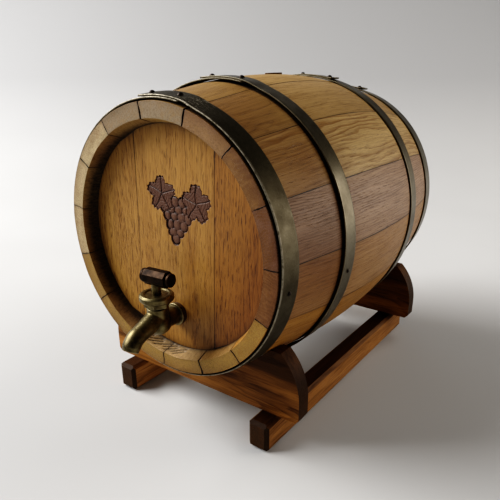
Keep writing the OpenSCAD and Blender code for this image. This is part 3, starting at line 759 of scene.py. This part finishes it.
def build_hoop(name, seed, rub):
    low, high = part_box(name)
    cad = node_points(name)
    radii = radius_of(cad)
    near_front = radii[cad[:, 1] < low.y + 0.01 * MM].min()
    near_rear = radii[cad[:, 1] > high.y - 0.01 * MM].min()
    width = high.y - low.y
    lap_degrees, hand = hoop_laps[name]
    lap = math.radians(lap_degrees)
    section = strip_section(width, STRIP_T, 0.3 * MM)
    n, steps = len(section), 420
    along = (2 * math.pi + 2 * LAP_HALF_TURN) * np.arange(steps + 1) / steps
    along = np.repeat(along, n)
    angle = lap + hand * (along - LAP_HALF_TURN)
    across, height, rubbed = (np.tile(section[:, k], steps + 1) for k in range(3))
    climb = np.clip((along - (2 * math.pi - RAMP_TURN)) / RAMP_TURN, 0, 1)
    last = np.clip((along - along.max()) / LIFTED_TURN + 1, 0, 1)
    end_lift = 0.3 * MM if hand > 0 else 1.3 * MM
    lift = (STRIP_T + 0.03 * MM) * climb * climb * (3 - 2 * climb) + end_lift * last ** 2
    share = across / width
    loose = 1 - share if low.y < cask_y else share
    flutter = 0.12 * MM * (1 + ripple(5 * angle, share, seed + 1)) * loose
    r = near_front + (near_rear - near_front) * share + height + lift + flutter
    sway = 0.16 * MM * ripple(3 * angle, 0.0, seed) * (0.3 + 0.7 * share)
    points = np.stack([r * np.cos(angle), low.y + across + sway, axis_z + r * np.sin(angle)], 1)
    from_scuff = (angle - SCUFF_ANGLE + math.pi) % (2 * math.pi) - math.pi
    near_scuff = np.exp(-((from_scuff / 0.12) ** 2))
    scuff = 0.05 + 0.9 * near_scuff * (name == "front_head_hoop")
    faces = []
    for k in range(steps):
        for m in range(n):
            a, b = k * n + m, k * n + (m + 1) % n
            faces.append((a, b, b + n, a + n))
    faces.append(tuple(range(n))[::-1])
    faces.append(tuple(steps * n + m for m in range(n)))
    return add_mesh(name + "_strip", points, faces, "cask", [name],
                    {"edge": rubbed * rub, "scuff": scuff})


def build_hoops():
    worn = (0.5, 0.45, 0.36)
    # The front head hoop's metal is a rougher copy of the strip metal whose darker tones are painted shade
    dull_shaded = aged_metal("hoop_strip_shaded", (0.10, 0.086, 0.056), worn, (0.055, 0.045, 0.027), 0.46, True)
    strip = aged_metal("hoop_strip", (0.145, 0.125, 0.084), worn, (0.08, 0.066, 0.04), 0.38, True)
    for name, rub in zip(hoop_nodes, (0.5, 0.15, 0.1, 0.1)):
        metal = dull_shaded if name == "front_head_hoop" else strip
        build_hoop(name, 40 + len(name), rub).data.materials.append(metal)
    dark = aged_metal("rivet_iron", (0.05, 0.038, 0.03), (0.12, 0.1, 0.09), (0.02, 0.015, 0.012), 0.5)
    for name in ("hoop_rivets", "hoop_nails"):
        nodes[name].data.materials.clear()
        nodes[name].data.materials.append(dark)


# ---- tap ----
def cast_copy(node, voxel, passes, name, body):
    """A copy of a machined CAD solid with the soft corners of a casting."""
    mesh = nodes[node].data.copy()
    piece = bpy.data.objects.new(name, mesh)
    bpy.context.scene.collection.objects.link(piece)
    mesh.materials.clear()
    weld = piece.modifiers.new("weld", "WELD")
    weld.merge_threshold = 0.002 * MM
    remesh = piece.modifiers.new("remesh", "REMESH")
    remesh.mode = "VOXEL"
    remesh.voxel_size = voxel
    remesh.use_smooth_shade = True
    smooth = piece.modifiers.new("smooth", "SMOOTH")
    smooth.iterations = passes
    smooth.factor = 0.5
    apply_modifiers(piece)
    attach(piece, body)
    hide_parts(node)
    return piece


def tap_metal(name, tone, worn, oxide, roughness):
    """Cast brass gone dull: rubbed where it stands out, dark where it lies in."""
    s = Shader(name)
    place = s.add("ShaderNodeTexCoord").outputs["Object"]
    cloud = s.noise(s.stretch(place, (160, 160, 160)), 1.0, 5.0, 0.6)
    spots = s.noise(s.stretch(place, (900, 900, 900)), 1.0, 3.0, 0.6)
    pointy = s.add("ShaderNodeNewGeometry").outputs["Pointiness"]
    colour = s.mix(s.fade(cloud, 0.38, 0.66), tone, oxide)
    colour = s.mix(s.math("MULTIPLY", s.fade(pointy, 0.505, 0.56), 0.8), colour, worn)
    colour = s.mix(s.math("MULTIPLY", s.fade(pointy, 0.495, 0.45), 0.85), colour, oxide)
    rough = s.math("MULTIPLY_ADD", cloud, 0.3, roughness - 0.15, clamp=True)
    height = s.math("MULTIPLY_ADD", spots, 0.5, s.math("MULTIPLY", cloud, 0.8))
    return s.finish(colour, rough, metallic=0.95, normal=s.bump(height, 0.15 * MM, 0.5))


def build_tap():
    brass = tap_metal("tap_brass_aged", (0.19, 0.155, 0.078), (0.36, 0.31, 0.19), (0.06, 0.046, 0.024), 0.42)
    bronze = tap_metal("handle_bronze_aged", (0.030, 0.017, 0.010), (0.07, 0.045, 0.028), (0.012, 0.008, 0.006), 0.5)
    for node, voxel, passes, body in (("tap_body", 0.34, 8, "cask"), ("tap_bonnet", 0.26, 4, "cask"),
                                      ("tap_spindle", 0.24, 2, "spindle")):
        piece = cast_copy(node, voxel * MM, passes, node + "_cast", body)
        piece.data.materials.append(brass)
    handle = cast_copy("tap_handle", 0.24 * MM, 5, "tap_handle_cast", "spindle")
    handle.data.materials.append(bronze)
    nodes["tap_jumper"].data.materials.clear()
    nodes["tap_jumper"].data.materials.append(brass)


# ---- cradle, bung and small parts ----
def build_cradle():
    dark, pore = (0.075, 0.031, 0.010), (0.026, 0.011, 0.005)
    places = {"left_rail": ("Y", (13, 700, 31)), "right_rail": ("Y", (-60, 100, 37)),
              "front_saddle": ("X", (150, 300, -10)), "rear_saddle": ("X", (-170, 900, -20))}
    for name, (along, offset) in places.items():
        rail = name.endswith("rail")
        light = (0.45, 0.21, 0.07) if rail else (0.44, 0.19, 0.05)
        # Painted shade darkens the rail tops and the upper parts of the saddles, which lie under the cask
        stained = wood(name + "_stained", light, dark, pore, along=along, ring=3.4, contrast=0.8, streaks=0.5,
                       pores=0.3, cloud=0.6, roughness=0.55, end_tone=(0.045, 0.024, 0.011), offset=offset,
                       end_from=0.5 if rail else 0.8, specular=0.12, top_shade=0.9 if rail else 0.2,
                       shade_above=None if rail else (36, 60))
        nodes[name].data.materials.clear()
        nodes[name].data.materials.append(stained)
        weld = nodes[name].modifiers.new("weld", "WELD")
        weld.merge_threshold = 0.002 * MM
        round_edges(nodes[name], 0.6 * MM, 3)


def plain_rubber(name, tone):
    s = Shader(name)
    place = s.add("ShaderNodeTexCoord").outputs["Object"]
    cloud = s.noise(s.stretch(place, (500, 500, 500)), 1.0, 4.0, 0.6)
    colour = s.mix(s.fade(cloud, 0.3, 0.7), tone, tuple(0.5 * c for c in tone))
    return s.finish(colour, 0.75, normal=s.bump(cloud, 0.08 * MM, 0.5))


def build_small_parts():
    light, dark, pore = (0.11, 0.062, 0.03), (0.06, 0.032, 0.015), (0.03, 0.015, 0.007)
    bung = wood("bung_oak", light, dark, pore, along="Z", ring=2.0, contrast=0.8, roughness=0.65, specular=0.12)
    looks = {"bung": bung,
             "front_head_dowels": wood("dowel_beech", *STRAW, along="X", roughness=0.6),
             "tap_seal_washer": plain_rubber("washer_leather", (0.10, 0.05, 0.025)),
             "tap_stem_seal": plain_rubber("stem_rubber", (0.02, 0.02, 0.02)),
             "tap_jumper_washer": plain_rubber("jumper_rubber", (0.025, 0.022, 0.02)),
             "cradle_screws": aged_metal("screw_steel_plain", (0.42, 0.41, 0.39), (0.6, 0.6, 0.58),
                                         (0.2, 0.19, 0.18), 0.4)}
    looks["rear_head_dowels"] = looks["front_head_dowels"]
    for name, material in looks.items():
        nodes[name].data.materials.clear()
        nodes[name].data.materials.append(material)
    weld = nodes["bung"].modifiers.new("weld", "WELD")
    weld.merge_threshold = 0.002 * MM
    round_edges(nodes["bung"], 0.5 * MM, 3)


# ---- floor, backdrop, light and camera ----
def build_stage():
    """A pale sheet that runs under the cask and curves up behind it."""
    sheet = Shader("pale_sheet")
    place = sheet.add("ShaderNodeTexCoord").outputs["Object"]
    cloud = sheet.noise(sheet.stretch(place, (3, 3, 3)), 1.0, 2.0, 0.5)
    height = sheet.add("ShaderNodeSeparateXYZ", None, {0: place}).outputs["Z"]
    colour = sheet.mix(sheet.fade(cloud, 0.2, 0.8), (0.52, 0.52, 0.52), (0.56, 0.56, 0.56))
    # Painted shade: the sheet is made darker where it rises into the wall
    colour = sheet.mix(sheet.fade(height, 0.0, 0.25), colour, (0.42, 0.42, 0.425))
    material = sheet.finish(colour, 0.9, specular=0.1)
    half_w, near, far, bend, top = 3.5, 2.4, 0.5, 1.8, 2.3
    profile = [(-near, 0.0), (0.0, 0.0), (far, 0.0)]
    for k in range(1, 25):
        a = math.radians(80 * k / 24)
        profile.append((far + bend * math.sin(a), bend * (1 - math.cos(a))))
    profile.append((far + bend + 0.1, top))
    facing = math.radians(35.5)
    points, faces = [], []
    for p, h in profile:
        for side in (-half_w, half_w):
            x = side * math.cos(facing) - p * math.sin(facing)
            y = side * math.sin(facing) + p * math.cos(facing)
            points.append((x, y, h))
    for k in range(len(profile) - 1):
        faces.append((2 * k, 2 * k + 1, 2 * k + 3, 2 * k + 2))
    mesh = bpy.data.meshes.new("backdrop")
    mesh.from_pydata(points, [], faces)
    mesh.polygons.foreach_set("use_smooth", [True] * len(faces))
    mesh.materials.append(material)
    backdrop = bpy.data.objects.new("backdrop", mesh)
    bpy.context.scene.collection.objects.link(backdrop)


def area_light(name, place, aim, size, watts, colour, mirrored=True):
    """A soft rectangular light. One that isn't mirrored lights things but makes no highlight."""
    lamp = bpy.data.lights.new(name, "AREA")
    lamp.shape = "RECTANGLE"
    lamp.size, lamp.size_y = size
    lamp.energy = watts
    lamp.color = colour
    light = bpy.data.objects.new(name, lamp)
    light.location = place
    light.visible_glossy = mirrored
    light.rotation_euler = (Vector(aim) - Vector(place)).to_track_quat("-Z", "Y").to_euler()
    bpy.context.scene.collection.objects.link(light)


def build_lights():
    middle = (0, cask_y, axis_z)
    area_light("window", (-1.75, -0.95, 1.6), middle, (1.7, 1.6), 120, (1.0, 0.99, 0.975))
    area_light("far_window", (1.3, 1.2, 0.42), middle, (1.0, 0.6), 12, (1.0, 0.93, 0.84))
    area_light("back_wall", (0.9, 1.2, 1.7), middle, (1.6, 1.2), 15, (1.0, 0.96, 0.9), False)
    world = bpy.data.worlds.new("room")
    bpy.context.scene.world = world
    world.use_nodes = True
    background = world.node_tree.nodes["Background"]
    background.inputs["Color"].default_value = (1.0, 0.95, 0.9, 1)
    background.inputs["Strength"].default_value = 0.05


def build_camera():
    """Looks down on the cask from its front right."""
    turn, dip = math.radians(35.5), math.radians(22.82)
    lens = bpy.data.cameras.new("camera")
    lens.lens = 37.2
    lens.sensor_width = 36
    lens.shift_x = -0.0140
    lens.shift_y = 0.0818
    camera = bpy.data.objects.new("camera", lens)
    camera.location = Vector((0, cask_y, axis_z)) + Vector((0.2519, -0.3738, 0.1113))
    camera.rotation_euler = (math.pi / 2 - dip, 0, turn)
    bpy.context.scene.collection.objects.link(camera)
    bpy.context.scene.camera = camera


def set_film_curve():
    """Deepens the shadows a little, as a camera's own tone curve does."""
    view = bpy.context.scene.view_settings
    view.view_transform = "Standard"
    view.use_curve_mapping = True
    curve = view.curve_mapping.curves[3]
    for dark, deeper in ((0.01, 0.002), (0.03, 0.011), (0.06, 0.035), (0.1, 0.076), (0.2, 0.188), (0.4, 0.41), (0.7, 0.73)):
        curve.points.new(dark, deeper)
    view.curve_mapping.update()


build_staves()
build_heads()
build_hoops()
build_tap()
build_cradle()
build_small_parts()
build_stage()
build_lights()
build_camera()
set_film_curve()
